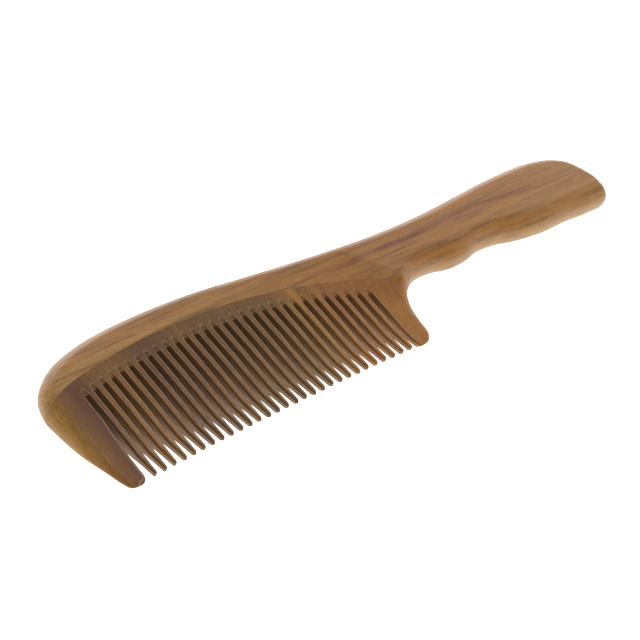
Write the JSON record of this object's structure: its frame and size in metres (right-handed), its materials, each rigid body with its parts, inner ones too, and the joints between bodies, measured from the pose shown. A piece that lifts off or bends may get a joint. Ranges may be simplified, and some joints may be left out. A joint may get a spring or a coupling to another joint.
{
  "type": "handled wooden comb",
  "caption": "Wooden hair comb with a curved back, a single row of narrow tapered teeth between two guard teeth, and a straight handle with a waved finger edge.",
  "frame": {"origin": "middle of the comb's box, on the face it lies on", "axes": "+X along the comb from the end guard tooth to the handle, +Y from the tooth tips to the back of the comb, +Z through its thickness"},
  "size_m": [0.1968, 0.044, 0.0105],
  "materials": {
    "spine_wood": "oiled satin, grain along the comb",
    "tooth_wood_olive": "oiled satin, olive brown, grain along the teeth",
    "tooth_wood_brown": "oiled satin, orange brown, grain along the teeth"
  },
  "bodies": {
    "root": {"spine_handle": "spine_wood", "tooth_block_1": "tooth_wood_olive", "tooth_block_2": "tooth_wood_olive", "tooth_block_3": "tooth_wood_olive", "tooth_block_4": "tooth_wood_olive", "tooth_block_5": "tooth_wood_brown"}
  },
  "joints": []
}
